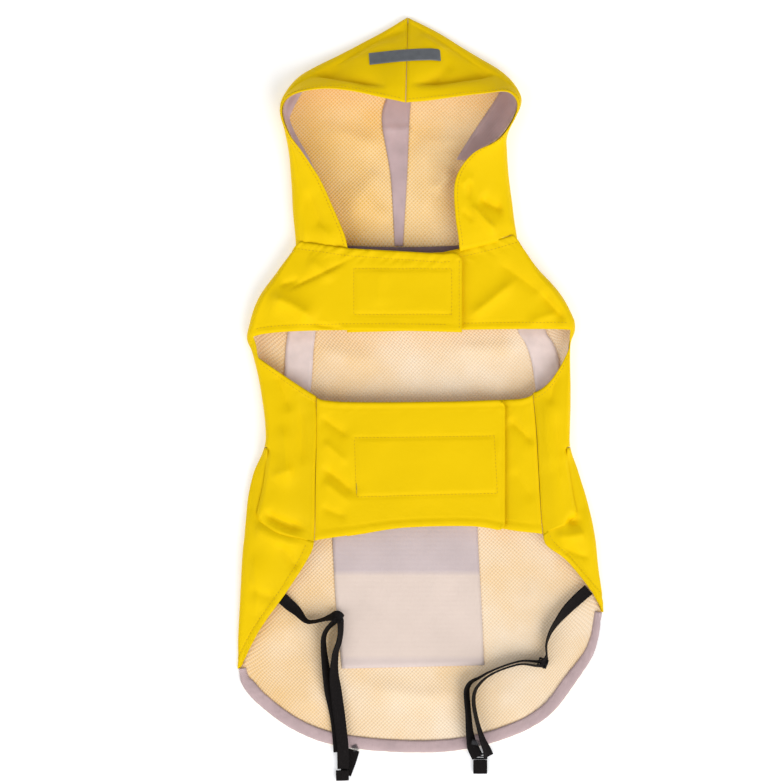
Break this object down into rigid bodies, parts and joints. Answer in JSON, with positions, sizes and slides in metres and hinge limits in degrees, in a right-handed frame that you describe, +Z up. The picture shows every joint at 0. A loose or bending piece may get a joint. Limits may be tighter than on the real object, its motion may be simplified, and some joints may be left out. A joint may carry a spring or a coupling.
{
  "type": "dog raincoat",
  "caption": "Hooded dog raincoat laid flat, belly side up: coated shell over mesh lining, chest and belly bands closed by hook and loop, a leg slot between them, elastic leg straps.",
  "frame": {"origin": "centre of the laid-out coat's footprint, on the surface that it lies on", "axes": "+Z up out of the belly side, +Y towards the hood, +X towards the right of the laid-out coat as seen from above"},
  "size_m": [0.3148, 0.6558, 0.0375],
  "materials": {
    "shell_cloth": "coated waterproof weave, soft satin",
    "mesh_lining": "fine open mesh knit, matte, the shell shows through",
    "seam_tape": "ribbed woven tape, matte",
    "backing_cloth": "thin woven cloth, matte",
    "reflective_tape": "grey glass-bead reflective tape, satin",
    "hook_and_loop": "hook and loop, matte",
    "elastic": "flat woven elastic, matte",
    "slider_plastic": "moulded, satin"
  },
  "bodies": {
    "root": {"back_panel": "shell_cloth", "side_panel_left": "shell_cloth", "side_panel_right": "shell_cloth", "belly_flap_left": "shell_cloth", "belly_flap_right": "shell_cloth", "hood_left": "shell_cloth", "hood_right": "shell_cloth", "back_lining": "mesh_lining", "hood_lining_left": "mesh_lining", "hood_lining_right": "mesh_lining", "hood_facing_left": "seam_tape", "hood_facing_right": "seam_tape", "hood_seam_tape": "seam_tape", "side_tape_left": "seam_tape", "side_tape_right": "seam_tape", "neck_binding": "seam_tape", "rear_hem_binding": "seam_tape", "pocket_backing": "backing_cloth", "reflective_strip": "reflective_tape", "chest_hook_strip": "hook_and_loop", "chest_loop_strip": "hook_and_loop", "belly_hook_strip": "hook_and_loop", "belly_loop_strip": "hook_and_loop", "leg_strap_left": "elastic", "leg_strap_left_tail": "elastic", "leg_strap_left_loop": "elastic", "leg_strap_left_return": "elastic", "leg_strap_right": "elastic", "leg_strap_right_tail": "elastic", "leg_strap_right_loop": "elastic", "strap_end_left": "elastic", "strap_end_right": "elastic", "strap_slider_left": "slider_plastic", "strap_slider_right": "slider_plastic", "strap_keeper_right": "slider_plastic"}
  },
  "joints": []
}
